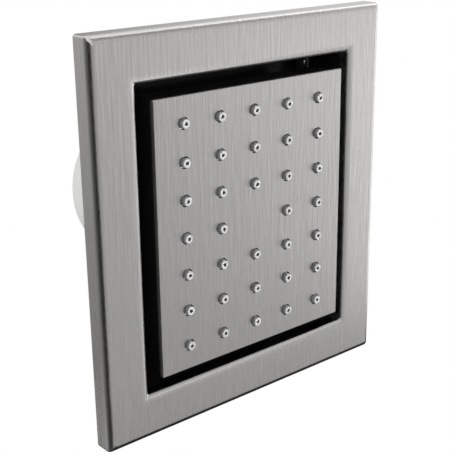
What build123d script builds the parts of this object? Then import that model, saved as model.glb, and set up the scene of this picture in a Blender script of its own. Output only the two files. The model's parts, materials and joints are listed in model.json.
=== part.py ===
from build123d import *
from math import sqrt
import os

# Oblong shower body jet: a brushed trim frame on the wall, a recessed spray head that
# tilts and pans on a ball behind it, and the round housing that brings the water.
# Millimetres. +X right, +Y into the wall, +Z up, the finished wall is the plane Y = 0.

# Trim frame
frame_width = 128.0
frame_height = 139.5
frame_depth = 7.7
frame_border = 14.6
frame_edge_radius = 2.5
frame_corner_radius = 1.0
frame_wall = 2.0
lip_radius = 2.6
lip_wall = 2.0
lip_depth = 5.0
leg_thickness = 1.6
leg_height = 8.0
leg_reach = 20.0
leg_chamfer = 0.5

# Recessed well behind the frame, with its wall flange
well_margin = 0.7
well_wall = 1.8
well_depth = 22.0
well_back = 2.0
well_corner_radius = 3.0
flange_thickness = 2.4
flange_width = 8.7
flange_corner_radius = 4.0
wall_screw_spacing_x = 76.0
wall_screw_margin = 4.35
wall_screw_hole_radius = 2.25
well_port_radius = 25.0

# Spring clips that grip the frame's legs
clip_thickness = 0.5
clip_width = 6.0
clip_length = 6.5
clip_depth = 13.0
clip_inset = 6.25

# Foam gasket round the flange
gasket_thickness = 2.0

# Spray head
gap = 4.55
plate_proud = 1.45
plate_thickness = 1.5
plate_corner_radius = 1.0
plate_edge_radius = 0.4
nozzle_columns = 5
nozzle_rows = 7
nozzle_margin_x = 11.85
nozzle_margin_z = 9.0
nozzle_proud = 1.45
nozzle_radius = 1.78
nozzle_tip_radius = 1.66
nozzle_round = 0.32
jet_radius = 0.6
feed_radius = 1.3
feed_depth = 1.6
mat_thickness = 2.0
mat_rim = 3.85
tray_inset = 0.5
tray_depth = 8.64
tray_floor = 2.0
tray_corner_radius = 1.5
chamber_rim = 6.5
chamber_corner_radius = 4.0
cover_thickness = 3.0
cover_rib_height = 3.0
cover_rib_thickness = 1.6
cover_rib_reach = 37.0
cover_rib_count = 8
seal_width = 1.6
seal_thickness = 1.0
cover_screw_inset = 2.45
cover_screw_head_radius = 1.9
cover_screw_head_height = 1.3
cover_screw_radius = 1.1
cover_screw_length = 6.0

# Ball joint
pivot_depth = 15.0
ball_radius = 10.0
neck_radius = 5.0
waterway_radius = 3.2
ring_thickness = 3.0
ring_length = 5.6
pin_radius = 1.5
pin_engagement = 3.0
socket_wall = 3.5
socket_reach = 5.4
cavity_radius = 14.0
cavity_front = 5.5
port_radius = 4.5
ball_seal_front = 8.6
ball_seal_back = 6.4
ball_seal_radius = 10.2
seat_length = 3.0
seat_hole_radius = 7.8
nut_wall = 3.0
nut_overlap = 7.4
nut_flange = 2.2
nut_hole_radius = 8.6
nut_flute_count = 12
nut_flute_radius = 1.4

# Stem between the ball and the inlet
stem_hex_length = 6.0
stem_hex_flats = 17.0
stem_collar_radius = 10.0
stem_collar_length = 2.0
stem_shank_radius = 7.0
stem_shank_length = 9.0
o_ring_section = 0.8
o_ring_offset = 2.5

# Rough-in housing
housing_gasket_thickness = 1.0
housing_gasket_width = 8.0
housing_gasket_margin = 2.6
housing_flange_radius = 44.0
housing_flange_thickness = 3.0
housing_flange_width = 7.0
housing_back_radius = 30.4
housing_depth = 63.0
housing_wall = 2.4
housing_back = 3.0
housing_edge_radius = 1.2
gusset_count = 8
gusset_thickness = 2.0
gusset_length = 12.0
gusset_inset = 2.0
housing_screw_inset = 4.0
housing_screw_count = 4
housing_screw_head_radius = 3.4
housing_screw_head_height = 2.2
housing_screw_radius = 1.9
housing_screw_length = 12.0
boss_wall = 2.0
boss_length = 8.0

# Water inlet
inlet_tube_radius = 13.5
inlet_length = 13.0
inlet_flange_radius = 18.0
inlet_flange_length = 4.0
inlet_front_radius = 12.0
inlet_front_length = 11.0
inlet_thread_radius = 9.3
inlet_thread_length = 14.0
inlet_bore_radius = 5.0
washer_thickness = 1.0
washer_width = 3.4
locknut_flats = 34.0
locknut_length = 6.0
filter_radius = 8.5
filter_rim = 1.8
filter_thickness = 1.5
filter_mesh = 0.5
filter_hole_radius = 0.55
filter_hole_pitch = 2.2
regulator_radius = 7.4
regulator_thickness = 3.5
regulator_hole_radius = 0.9
regulator_circle_radius = 4.0
regulator_hole_count = 8

# Clearances
free_fit = 0.3
running_fit = 0.05
close_fit = 0.1
ball_fit = 0.15
nozzle_fit = 0.27
through = 1.0

# Sizes that follow from those above
opening_width = frame_width - 2 * (frame_border + lip_radius)
opening_height = frame_height - 2 * (frame_border + lip_radius)
inside_width = frame_width - 2 * frame_wall
inside_height = frame_height - 2 * frame_wall
well_width = opening_width + 2 * well_margin
well_height = opening_height + 2 * well_margin
well_outer_width = well_width + 2 * well_wall
well_outer_height = well_height + 2 * well_wall
flange_outer_width = well_outer_width + 2 * flange_width
flange_outer_height = well_outer_height + 2 * flange_width
leg_x = well_outer_width / 2 + clip_thickness + leg_thickness / 2
clip_height = well_height / 2 - clip_inset
wall_screw_spacing_z = flange_outer_height - 2 * wall_screw_margin

plate_width = opening_width - 2 * gap
plate_height = opening_height - 2 * gap
plate_front = -frame_depth - plate_proud
plate_back = plate_front + plate_thickness
nozzle_pitch_x = (plate_width - 2 * nozzle_margin_x) / (nozzle_columns - 1)
nozzle_pitch_z = (plate_height - 2 * nozzle_margin_z) / (nozzle_rows - 1)
tray_width = plate_width - 2 * tray_inset
tray_height = plate_height - 2 * tray_inset
mat_width = tray_width - 2 * mat_rim
mat_height = tray_height - 2 * mat_rim
mat_back = plate_back + mat_thickness
tray_back = plate_back + tray_depth
chamber_width = tray_width - 2 * chamber_rim
chamber_height = tray_height - 2 * chamber_rim
cover_back = tray_back + cover_thickness
cover_screw_x = tray_width / 2 - cover_screw_inset
cover_screw_z = tray_height / 2 - cover_screw_inset
cover_screw_row_z = 2 * cover_screw_z / 3
cover_screw_row_x = cover_screw_x / 2

socket_radius = cavity_radius + socket_wall
nut_radius = socket_radius + close_fit + nut_wall
ring_inner_radius = ball_radius + free_fit
ring_outer_radius = ring_inner_radius + ring_thickness
cup_radius = ball_radius + free_fit
neck_start = sqrt(ball_radius**2 - neck_radius**2)
seat_back = socket_reach + seat_length

well_outer_depth = well_depth + well_back
housing_front = well_outer_depth + housing_gasket_thickness
flange_back = housing_front + housing_flange_thickness
housing_front_radius = housing_flange_radius - housing_flange_width
gusset_reach = housing_flange_radius - gusset_inset
housing_screw_circle_radius = housing_flange_radius - housing_screw_inset
housing_gasket_outer = housing_screw_circle_radius - housing_screw_radius - housing_gasket_margin
housing_gasket_inner = housing_gasket_outer - housing_gasket_width
housing_floor = housing_depth - housing_back
inlet_flange_back = housing_floor - washer_thickness
inlet_flange_front = inlet_flange_back - inlet_flange_length
inlet_front = inlet_flange_front - inlet_front_length
inlet_back = housing_depth + inlet_length
thread_start = inlet_back - inlet_thread_length
filter_start = thread_start - filter_thickness
regulator_start = filter_start - regulator_thickness
stem_hex_back = inlet_front - stem_collar_length
stem_end = inlet_front + stem_shank_length
o_ring_depth = inlet_front + o_ring_offset
o_ring_radius = stem_shank_radius - o_ring_section / 2

# The grid has a bare place in its middle
nozzle_places = [
    ((column - (nozzle_columns - 1) / 2) * nozzle_pitch_x, (row - (nozzle_rows - 1) / 2) * nozzle_pitch_z)
    for column in range(nozzle_columns)
    for row in range(nozzle_rows)
    if (column, row) != (nozzle_columns // 2, nozzle_rows // 2)
]
cover_screw_places = [
    *[(side * cover_screw_x, row * cover_screw_row_z) for side in (-1, 1) for row in (-1, 0, 1)],
    *[(row * cover_screw_row_x, side * cover_screw_z) for side in (-1, 1) for row in (-1, 1)],
]
housing_screw_places = [
    tuple(place.position)[:2]
    for place in PolarLocations(housing_screw_circle_radius, housing_screw_count, start_angle=45)
]


def plane_at(depth):
    """Plane parallel to the wall, facing the room, at a depth behind the finished wall."""
    return Plane.XZ.offset(-depth)


def section_planes(width, height):
    """The two planes whose prisms, run across each other, make a block with mitred corners."""
    upright = Plane.XY.offset(-height / 2)
    level = Plane(origin=(width / 2, 0, 0), x_dir=(0, 0, 1), z_dir=(-1, 0, 0))
    return [(upright, width, height, Mode.ADD), (level, height, width, Mode.INTERSECT)]


def rounded_block(width, height, depth, radius):
    """Block on the wall with its four front edges rounded and mitred at the corners."""
    with BuildPart() as block:
        for plane, across, run, mode in section_planes(width, height):
            with BuildSketch(plane) as section:
                with Locations((0, -depth / 2)):
                    Rectangle(across, depth)
                fillet(section.vertices().group_by(Axis.Y)[0], radius)
            extrude(amount=run, mode=mode)
    return block.part


def flared_hole(width, height, depth, radius):
    """Room taken by a window whose front edge is rolled back, mitred at the corners."""
    diagonal = radius * (1 - sqrt(0.5))
    with BuildPart() as hole:
        for plane, across, run, mode in section_planes(width + 2 * radius, height + 2 * radius):
            mouth = across / 2
            throat = mouth - radius
            with BuildSketch(plane):
                with BuildLine():
                    Polyline((0, through), (throat, through), (throat, radius - depth))
                    ThreePointArc(
                        (throat, radius - depth),
                        (throat + diagonal, diagonal - depth),
                        (mouth, -depth),
                    )
                    Polyline((mouth, -depth), (mouth, -depth - through), (0, -depth - through))
                    mirror(about=Plane.YZ)
                make_face()
            extrude(amount=run, mode=mode)
    return hole.part


def screw_set(places, seat, drive, head_radius, head_height, shank_radius, length):
    """Pan-head screws: drive is 1 into the wall or -1 towards the room, seat is under the heads."""
    with BuildPart() as screws:
        with BuildSketch(plane_at(seat)):
            with Locations(*places):
                Circle(head_radius)
        extrude(amount=drive * head_height)
        chamfer(screws.edges().group_by(Axis.Y)[0 if drive > 0 else -1], head_height / 3)
        with BuildSketch(plane_at(seat)):
            with Locations(*places):
                Circle(shank_radius)
        extrude(amount=-drive * length)
    return screws


# Trim frame, hollow behind, with four legs that the clips grip
with BuildPart() as trim_frame:
    add(rounded_block(frame_width, frame_height, frame_depth, frame_edge_radius))
    with BuildSketch(plane_at(0)):
        RectangleRounded(frame_width, frame_height, frame_corner_radius)
    extrude(amount=frame_depth, mode=Mode.INTERSECT)
    add(flared_hole(opening_width, opening_height, frame_depth, lip_radius), mode=Mode.SUBTRACT)
    with BuildSketch(plane_at(0)):
        Rectangle(inside_width, inside_height)
    extrude(amount=frame_depth - lip_depth, mode=Mode.SUBTRACT)
    with BuildSketch(plane_at(lip_depth - frame_depth)):
        Rectangle(inside_width, inside_height)
        Rectangle(opening_width + 2 * lip_wall, opening_height + 2 * lip_wall, mode=Mode.SUBTRACT)
    extrude(amount=lip_depth - frame_wall, mode=Mode.SUBTRACT)
    with BuildSketch(plane_at(leg_reach)):
        with GridLocations(2 * leg_x, 2 * clip_height, 2, 2):
            Rectangle(leg_thickness, leg_height)
    extrude(amount=leg_reach + frame_depth - frame_wall)
    chamfer(trim_frame.faces().sort_by(Axis.Y)[-4:].edges(), leg_chamfer)

# Foam strip between the frame's outer wall and the flange
with BuildPart() as wall_gasket:
    with BuildSketch(plane_at(0)):
        Rectangle(inside_width, inside_height)
        RectangleRounded(
            flange_outer_width + 2 * free_fit,
            flange_outer_height + 2 * free_fit,
            flange_corner_radius + free_fit,
            mode=Mode.SUBTRACT,
        )
    extrude(amount=gasket_thickness)

# Well: a tub in the wall, closed behind except for the port of the ball joint
with BuildPart() as recess_well:
    with BuildSketch(plane_at(0)):
        RectangleRounded(flange_outer_width, flange_outer_height, flange_corner_radius)
    extrude(amount=flange_thickness)
    with BuildSketch(plane_at(well_outer_depth)):
        RectangleRounded(well_outer_width, well_outer_height, well_corner_radius + well_wall)
    extrude(amount=well_outer_depth)
    with BuildSketch(plane_at(well_depth)):
        RectangleRounded(well_width, well_height, well_corner_radius)
    extrude(amount=well_depth + flange_thickness, mode=Mode.SUBTRACT)
    with BuildSketch(plane_at(well_outer_depth)):
        Circle(well_port_radius)
        with Locations(*housing_screw_places):
            Circle(housing_screw_radius + close_fit)
    extrude(amount=well_back, mode=Mode.SUBTRACT)
    with BuildSketch(plane_at(0)):
        with GridLocations(2 * leg_x, 2 * clip_height, 2, 2):
            Rectangle(leg_thickness + 2 * free_fit, leg_height + 2 * free_fit)
        with GridLocations(wall_screw_spacing_x, wall_screw_spacing_z, 2, 2):
            Circle(wall_screw_hole_radius)
    extrude(amount=flange_thickness, mode=Mode.SUBTRACT)
    with BuildSketch(plane_at(clip_depth + clip_thickness + close_fit)):
        with GridLocations(well_width + well_wall, 2 * clip_height, 2, 2):
            Rectangle(well_wall + 2 * through, clip_width + 2 * close_fit)
    extrude(amount=clip_thickness + 2 * close_fit, mode=Mode.SUBTRACT)

# Spring clips: a leaf on each face of the well's side wall, joined through its slot
with BuildPart() as frame_clips:
    for level in (-clip_height, clip_height):
        with BuildSketch(Plane.XY.offset(level - clip_width / 2)):
            with BuildLine():
                Polyline(
                    (well_width / 2 - clip_thickness, clip_depth + clip_length),
                    (well_width / 2 - clip_thickness, clip_depth),
                    (well_outer_width / 2 + clip_thickness, clip_depth),
                    (well_outer_width / 2 + clip_thickness, clip_depth + clip_length),
                    (well_outer_width / 2, clip_depth + clip_length),
                    (well_outer_width / 2, clip_depth + clip_thickness),
                    (well_width / 2, clip_depth + clip_thickness),
                    (well_width / 2, clip_depth + clip_length),
                    close=True,
                )
            make_face()
            mirror(about=Plane.YZ)
        extrude(amount=clip_width)

# Face plate, pierced for the nozzles
with BuildPart() as face_plate:
    with BuildSketch(plane_at(plate_back)):
        RectangleRounded(plate_width, plate_height, plate_corner_radius)
    extrude(amount=plate_thickness)
    fillet(face_plate.faces().sort_by(Axis.Y)[0].edges(), plate_edge_radius)
    with BuildSketch(plane_at(plate_back)):
        with Locations(*nozzle_places):
            Circle(nozzle_radius + nozzle_fit)
    extrude(amount=plate_thickness, mode=Mode.SUBTRACT)

# Nozzle mat: one soft moulding, each nozzle tapered and rounded over at its tip
with BuildPart() as nozzle_mat:
    tip_front = plate_front - nozzle_proud
    with BuildSketch(plane_at(mat_back)):
        Rectangle(mat_width, mat_height)
    extrude(amount=mat_thickness)
    for place_x, place_z in nozzle_places:
        with BuildSketch(Plane.XY.offset(place_z)):
            with BuildLine():
                Polyline(
                    (place_x, plate_back),
                    (place_x + nozzle_radius, plate_back),
                    (place_x + nozzle_tip_radius, tip_front),
                    (place_x, tip_front),
                    close=True,
                )
            make_face()
            fillet(vertices().group_by(Axis.X)[-2], nozzle_round)
        revolve(axis=Axis((place_x, 0, place_z), (0, 1, 0)))
    with BuildSketch(plane_at(mat_back)):
        with Locations(*nozzle_places):
            Circle(feed_radius)
    extrude(amount=feed_depth, mode=Mode.SUBTRACT)
    with BuildSketch(plane_at(mat_back)):
        with Locations(*nozzle_places):
            Circle(jet_radius)
    extrude(amount=mat_back - tip_front, mode=Mode.SUBTRACT)

# Spray tray: holds the mat in front and the water chamber behind
with BuildPart() as spray_tray:
    with BuildSketch(plane_at(tray_back)):
        RectangleRounded(tray_width, tray_height, tray_corner_radius)
    extrude(amount=tray_depth)
    with BuildSketch(plane_at(mat_back)):
        Rectangle(mat_width + 2 * close_fit, mat_height + 2 * close_fit)
    extrude(amount=mat_thickness, mode=Mode.SUBTRACT)
    with BuildSketch(plane_at(tray_back)):
        RectangleRounded(chamber_width, chamber_height, chamber_corner_radius)
    extrude(amount=tray_back - mat_back - tray_floor, mode=Mode.SUBTRACT)
    with BuildSketch(plane_at(mat_back + tray_floor)):
        with Locations(*nozzle_places):
            Circle(feed_radius)
    extrude(amount=tray_floor, mode=Mode.SUBTRACT)
    with BuildSketch(plane_at(tray_back)):
        RectangleRounded(
            chamber_width + 2 * seal_width,
            chamber_height + 2 * seal_width,
            chamber_corner_radius + seal_width,
        )
    extrude(amount=seal_thickness, mode=Mode.SUBTRACT)
    with BuildSketch(plane_at(tray_back)):
        with Locations(*cover_screw_places):
            Circle(cover_screw_radius)
    extrude(amount=cover_screw_length, mode=Mode.SUBTRACT)

# Rubber seal in the tray's rebate
with BuildPart() as chamber_gasket:
    with BuildSketch(plane_at(tray_back)):
        RectangleRounded(
            chamber_width + 2 * seal_width - 2 * close_fit,
            chamber_height + 2 * seal_width - 2 * close_fit,
            chamber_corner_radius + seal_width - close_fit,
        )
        RectangleRounded(chamber_width, chamber_height, chamber_corner_radius, mode=Mode.SUBTRACT)
    extrude(amount=seal_thickness)

# Head cover: closes the chamber and carries the socket of the ball joint
with BuildPart() as head_cover:
    with BuildSketch(plane_at(cover_back)):
        RectangleRounded(tray_width, tray_height, tray_corner_radius)
    extrude(amount=cover_thickness)
    with BuildSketch(plane_at(cover_back + cover_rib_height)):
        with PolarLocations(0, cover_rib_count // 2):
            Rectangle(2 * cover_rib_reach, cover_rib_thickness)
    extrude(amount=cover_rib_height)
    with BuildSketch(plane_at(pivot_depth + socket_reach)):
        Circle(socket_radius)
    extrude(amount=pivot_depth + socket_reach - cover_back)
    with BuildSketch(plane_at(pivot_depth + socket_reach)):
        Circle(cavity_radius)
    extrude(amount=socket_reach + cavity_front, mode=Mode.SUBTRACT)
    with Locations((0, pivot_depth, 0)):
        Sphere(cup_radius, mode=Mode.SUBTRACT)
    with BuildSketch(plane_at(pivot_depth - ball_seal_back)):
        Circle(ball_seal_radius)
    extrude(amount=ball_seal_front - ball_seal_back, mode=Mode.SUBTRACT)
    with BuildSketch(plane_at(pivot_depth)):
        Circle(port_radius)
    extrude(amount=pivot_depth - tray_back, mode=Mode.SUBTRACT)
    with BuildSketch(Plane.XY.offset(-socket_radius)):
        with Locations((0, pivot_depth)):
            Circle(pin_radius)
    extrude(amount=2 * socket_radius, mode=Mode.SUBTRACT)
    with BuildSketch(plane_at(cover_back)):
        with Locations(*cover_screw_places):
            Circle(cover_screw_radius + close_fit)
    extrude(amount=cover_thickness, mode=Mode.SUBTRACT)
    with BuildSketch(plane_at(cover_back)):
        with Locations(*cover_screw_places):
            Circle(cover_screw_head_radius + close_fit)
    extrude(amount=cover_screw_head_height, mode=Mode.SUBTRACT)

cover_screws = screw_set(
    cover_screw_places,
    cover_back - cover_screw_head_height,
    -1,
    cover_screw_head_radius,
    cover_screw_head_height,
    cover_screw_radius,
    cover_screw_length,
)

# Lip seal that wipes the front of the ball
with BuildPart() as ball_seal:
    with BuildSketch(plane_at(pivot_depth - ball_seal_back)):
        Circle(ball_seal_radius)
    extrude(amount=ball_seal_front - ball_seal_back)
    with Locations((0, pivot_depth, 0)):
        Sphere(ball_radius + ball_fit, mode=Mode.SUBTRACT)

# Gimbal ring: turns on the ball's side pins, and carries the head on its upper and lower pins
with BuildPart() as gimbal_ring:
    with BuildSketch(plane_at(pivot_depth + ring_length / 2)):
        Circle(ring_outer_radius)
        Circle(ring_inner_radius, mode=Mode.SUBTRACT)
    extrude(amount=ring_length)
    with BuildSketch(Plane.XY.offset(-ring_outer_radius)):
        with Locations((0, pivot_depth)):
            Circle(pin_radius + running_fit)
    extrude(amount=2 * ring_outer_radius, mode=Mode.SUBTRACT)
    with BuildSketch(Plane.YZ.offset(-ring_outer_radius)):
        with Locations((pivot_depth, 0)):
            Circle(pin_radius + running_fit)
    extrude(amount=2 * ring_outer_radius, mode=Mode.SUBTRACT)

# Side pins pressed into the ball
with BuildPart() as tilt_pins:
    for side in (-1, 1):
        with BuildSketch(Plane.YZ.offset(side * (ball_radius - pin_engagement))):
            with Locations((pivot_depth, 0)):
                Circle(pin_radius)
        extrude(amount=side * (ring_outer_radius - free_fit - ball_radius + pin_engagement))

# Upper and lower pins pressed into the socket
with BuildPart() as pan_pins:
    for side in (-1, 1):
        with BuildSketch(Plane.XY.offset(side * (ring_inner_radius + free_fit))):
            with Locations((0, pivot_depth)):
                Circle(pin_radius)
        extrude(amount=side * (socket_radius - close_fit - ring_inner_radius - free_fit))

# Seat that the nut presses on the back of the ball, which sets the friction
with BuildPart() as seat_ring:
    with BuildSketch(plane_at(pivot_depth + seat_back)):
        Circle(socket_radius)
        Circle(seat_hole_radius, mode=Mode.SUBTRACT)
    extrude(amount=seat_length)
    with Locations((0, pivot_depth, 0)):
        Sphere(ball_radius + ball_fit, mode=Mode.SUBTRACT)

# Socket nut, fluted for the fingers
with BuildPart() as socket_nut:
    with BuildSketch(plane_at(pivot_depth + seat_back + nut_flange)):
        Circle(nut_radius)
        with PolarLocations(nut_radius, nut_flute_count):
            Circle(nut_flute_radius, mode=Mode.SUBTRACT)
    extrude(amount=nut_flange + seat_length + nut_overlap)
    with BuildSketch(plane_at(pivot_depth + seat_back)):
        Circle(socket_radius + close_fit)
    extrude(amount=seat_length + nut_overlap, mode=Mode.SUBTRACT)
    with BuildSketch(plane_at(pivot_depth + seat_back + nut_flange)):
        Circle(nut_hole_radius)
    extrude(amount=nut_flange, mode=Mode.SUBTRACT)

# Ball stem: ball, neck, spanner hexagon and the shank that screws into the inlet
with BuildPart() as ball_stem:
    with BuildSketch(Plane.XY):
        with BuildLine():
            Line((0, pivot_depth - ball_radius), (0, stem_end))
            Polyline(
                (0, stem_end),
                (stem_shank_radius, stem_end),
                (stem_shank_radius, inlet_front),
                (stem_collar_radius, inlet_front),
                (stem_collar_radius, stem_hex_back),
                (neck_radius, stem_hex_back),
                (neck_radius, pivot_depth + neck_start),
            )
            ThreePointArc(
                (neck_radius, pivot_depth + neck_start),
                (ball_radius, pivot_depth),
                (0, pivot_depth - ball_radius),
            )
        make_face()
    revolve(axis=Axis.Y)
    with BuildSketch(plane_at(stem_hex_back)):
        RegularPolygon(stem_hex_flats / 2, 6, major_radius=False)
    extrude(amount=stem_hex_length)
    with BuildSketch(plane_at(stem_end)):
        Circle(waterway_radius)
    extrude(amount=stem_end - pivot_depth + ball_radius, mode=Mode.SUBTRACT)
    for side in (-1, 1):
        with BuildSketch(Plane.YZ.offset(side * (ball_radius - pin_engagement))):
            with Locations((pivot_depth, 0)):
                Circle(pin_radius)
        extrude(amount=side * pin_engagement, mode=Mode.SUBTRACT)
    with BuildSketch(Plane.XY):
        with Locations((o_ring_radius, o_ring_depth)):
            Rectangle(o_ring_section, 2 * o_ring_section)
    revolve(axis=Axis.Y, mode=Mode.SUBTRACT)

# Sealing ring in the shank's groove
with BuildPart() as stem_o_ring:
    with BuildSketch(Plane.XY):
        with Locations((o_ring_radius, o_ring_depth)):
            Circle(o_ring_section / 2)
    revolve(axis=Axis.Y)

# Gasket between the well and the housing
with BuildPart() as housing_gasket:
    with BuildSketch(plane_at(housing_front)):
        Circle(housing_gasket_outer)
        Circle(housing_gasket_inner, mode=Mode.SUBTRACT)
    extrude(amount=housing_gasket_thickness)

# Rough-in housing: a tapered tub, flanged in front, with gussets and screw bosses
with BuildPart() as rough_housing:
    with BuildSketch(Plane.XY):
        with BuildLine():
            Polyline(
                (0, housing_depth),
                (housing_back_radius, housing_depth),
                (housing_front_radius, flange_back),
                (housing_flange_radius, flange_back),
                (housing_flange_radius, housing_front),
                (0, housing_front),
                close=True,
            )
        make_face()
    revolve(axis=Axis.Y)
    fillet(rough_housing.edges().group_by(Axis.Y)[-1], housing_edge_radius)
    with BuildSketch(plane_at(flange_back + boss_length)):
        with Locations(*housing_screw_places):
            Circle(housing_screw_radius + boss_wall)
    extrude(amount=boss_length)
    for turn in range(gusset_count):
        with BuildSketch(Plane.XY.rotated((0, (turn + 0.5) * 360 / gusset_count, 0))):
            with BuildLine():
                Polyline(
                    (housing_back_radius, flange_back),
                    (gusset_reach, flange_back),
                    (housing_back_radius, flange_back + gusset_length),
                    close=True,
                )
            make_face()
        extrude(amount=gusset_thickness / 2, both=True)
    with BuildSketch(Plane.XY):
        with BuildLine():
            Polyline(
                (0, housing_floor),
                (housing_back_radius - housing_wall, housing_floor),
                (housing_front_radius - housing_wall, flange_back),
                (housing_front_radius - housing_wall, housing_front),
                (0, housing_front),
                close=True,
            )
        make_face()
    revolve(axis=Axis.Y, mode=Mode.SUBTRACT)
    with BuildSketch(plane_at(well_depth + housing_screw_length)):
        with Locations(*housing_screw_places):
            Circle(housing_screw_radius)
    extrude(amount=housing_screw_length, mode=Mode.SUBTRACT)
    with BuildSketch(plane_at(housing_depth)):
        Circle(inlet_tube_radius + free_fit)
    extrude(amount=housing_back, mode=Mode.SUBTRACT)

housing_screws = screw_set(
    housing_screw_places,
    well_depth,
    1,
    housing_screw_head_radius,
    housing_screw_head_height,
    housing_screw_radius,
    housing_screw_length,
)

# Brass inlet, threaded inside for the supply pipe and clamped through the housing's floor
with BuildPart() as inlet_fitting:
    with BuildSketch(Plane.XY):
        with BuildLine():
            Polyline(
                (stem_shank_radius + close_fit, inlet_front),
                (inlet_front_radius, inlet_front),
                (inlet_front_radius, inlet_flange_front),
                (inlet_flange_radius, inlet_flange_front),
                (inlet_flange_radius, inlet_flange_back),
                (inlet_tube_radius, inlet_flange_back),
                (inlet_tube_radius, inlet_back),
                (inlet_thread_radius, inlet_back),
                (inlet_thread_radius, thread_start),
                (filter_radius + close_fit, thread_start),
                (filter_radius + close_fit, filter_start),
                (regulator_radius + close_fit, filter_start),
                (regulator_radius + close_fit, regulator_start),
                (inlet_bore_radius, regulator_start),
                (inlet_bore_radius, stem_end),
                (stem_shank_radius + close_fit, stem_end),
                close=True,
            )
        make_face()
    revolve(axis=Axis.Y)

# Rubber washer under the inlet's flange
with BuildPart() as inlet_washer:
    with BuildSketch(plane_at(housing_floor)):
        Circle(inlet_tube_radius + close_fit + washer_width)
        Circle(inlet_tube_radius + close_fit, mode=Mode.SUBTRACT)
    extrude(amount=washer_thickness)

# Lock nut behind the housing
with BuildPart() as inlet_locknut:
    with BuildSketch(plane_at(housing_depth + locknut_length)):
        RegularPolygon(locknut_flats / 2, 6, major_radius=False)
        Circle(inlet_tube_radius + close_fit, mode=Mode.SUBTRACT)
    extrude(amount=locknut_length)

# Filter: a moulded rim round a pierced screen
with BuildPart() as filter_screen:
    with BuildSketch(plane_at(thread_start)):
        Circle(filter_radius)
        Circle(filter_radius - filter_rim, mode=Mode.SUBTRACT)
    extrude(amount=filter_thickness)
    with BuildSketch(plane_at(filter_start + filter_mesh)):
        Circle(filter_radius - filter_rim)
        with HexLocations(filter_hole_pitch / 2, 5, 5):
            Circle(filter_hole_radius, mode=Mode.SUBTRACT)
    extrude(amount=filter_mesh)

# Flow regulator disc
with BuildPart() as flow_regulator:
    with BuildSketch(plane_at(filter_start)):
        Circle(regulator_radius)
        with PolarLocations(regulator_circle_radius, regulator_hole_count):
            Circle(regulator_hole_radius, mode=Mode.SUBTRACT)
    extrude(amount=regulator_thickness)

pieces = {
    "trim_frame": trim_frame,
    "wall_gasket": wall_gasket,
    "recess_well": recess_well,
    "frame_clips": frame_clips,
    "rough_housing": rough_housing,
    "housing_gasket": housing_gasket,
    "housing_screws": housing_screws,
    "inlet_fitting": inlet_fitting,
    "inlet_washer": inlet_washer,
    "inlet_locknut": inlet_locknut,
    "filter_screen": filter_screen,
    "flow_regulator": flow_regulator,
    "ball_stem": ball_stem,
    "stem_o_ring": stem_o_ring,
    "tilt_pins": tilt_pins,
    "gimbal_ring": gimbal_ring,
    "pan_pins": pan_pins,
    "seat_ring": seat_ring,
    "socket_nut": socket_nut,
    "ball_seal": ball_seal,
    "head_cover": head_cover,
    "cover_screws": cover_screws,
    "chamber_gasket": chamber_gasket,
    "spray_tray": spray_tray,
    "nozzle_mat": nozzle_mat,
    "face_plate": face_plate,
}
os.makedirs("parts", exist_ok=True)
for name, piece in pieces.items():
    piece.part.label = name
    export_step(piece.part, f"parts/{name}.step")
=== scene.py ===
# %% [markdown]
# # A recessed shower body jet
# The object is an oblong spray head that swivels inside a brushed trim frame on a shower wall. Behind
# the wall sit a dark well, a white housing and a brass inlet. The solid model gives the sizes, and this
# lesson dresses it with fine edges, nozzles, threads and finishes, lit as in a small studio.

import json
from math import pi, radians

import bmesh
import bpy
from mathutils import Matrix, Vector

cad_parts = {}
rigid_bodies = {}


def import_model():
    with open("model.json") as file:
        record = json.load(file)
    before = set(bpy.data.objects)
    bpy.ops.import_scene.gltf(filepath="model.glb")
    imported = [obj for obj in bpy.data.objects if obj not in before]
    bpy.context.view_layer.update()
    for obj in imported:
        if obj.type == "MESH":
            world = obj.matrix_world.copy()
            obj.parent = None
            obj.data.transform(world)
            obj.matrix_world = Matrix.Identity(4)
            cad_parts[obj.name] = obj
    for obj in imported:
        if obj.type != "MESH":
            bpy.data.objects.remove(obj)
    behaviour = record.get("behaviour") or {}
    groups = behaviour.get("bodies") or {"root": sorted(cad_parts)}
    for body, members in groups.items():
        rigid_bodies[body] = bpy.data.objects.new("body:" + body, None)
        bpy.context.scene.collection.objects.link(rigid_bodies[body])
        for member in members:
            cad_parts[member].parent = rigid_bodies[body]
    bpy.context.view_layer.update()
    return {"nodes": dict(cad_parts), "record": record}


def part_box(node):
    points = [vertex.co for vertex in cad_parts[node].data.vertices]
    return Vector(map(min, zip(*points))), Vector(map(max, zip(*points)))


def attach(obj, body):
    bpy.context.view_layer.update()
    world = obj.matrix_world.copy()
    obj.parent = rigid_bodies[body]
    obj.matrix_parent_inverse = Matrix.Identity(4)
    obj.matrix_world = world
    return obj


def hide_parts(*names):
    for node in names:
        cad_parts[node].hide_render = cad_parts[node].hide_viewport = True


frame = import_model()
nodes = frame["nodes"]
mm = 0.001

# %% [markdown]
# ## Camera
# The photograph is taken from the left and a little above. A camera could be nudged by eye until it
# looks right. This one was fitted to the grid of nozzles, which gives its place, its turn and a lens of
# 78 mm on a 36 mm sensor, so the render falls on the same frame.

# %% Camera
scene = bpy.context.scene
scene.view_settings.view_transform = "Standard"
camera_data = bpy.data.cameras.new("photo_camera")
camera_data.sensor_width = 36.0
camera_data.lens = 78.38
camera = bpy.data.objects.new("photo_camera", camera_data)
camera.location = (-0.21861, -0.25469, 0.10849)
camera.rotation_euler = (radians(71.342), radians(0.776), radians(-40.156))
scene.collection.objects.link(camera)
scene.camera = camera
print("camera at", [round(v, 3) for v in camera.location])

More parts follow.
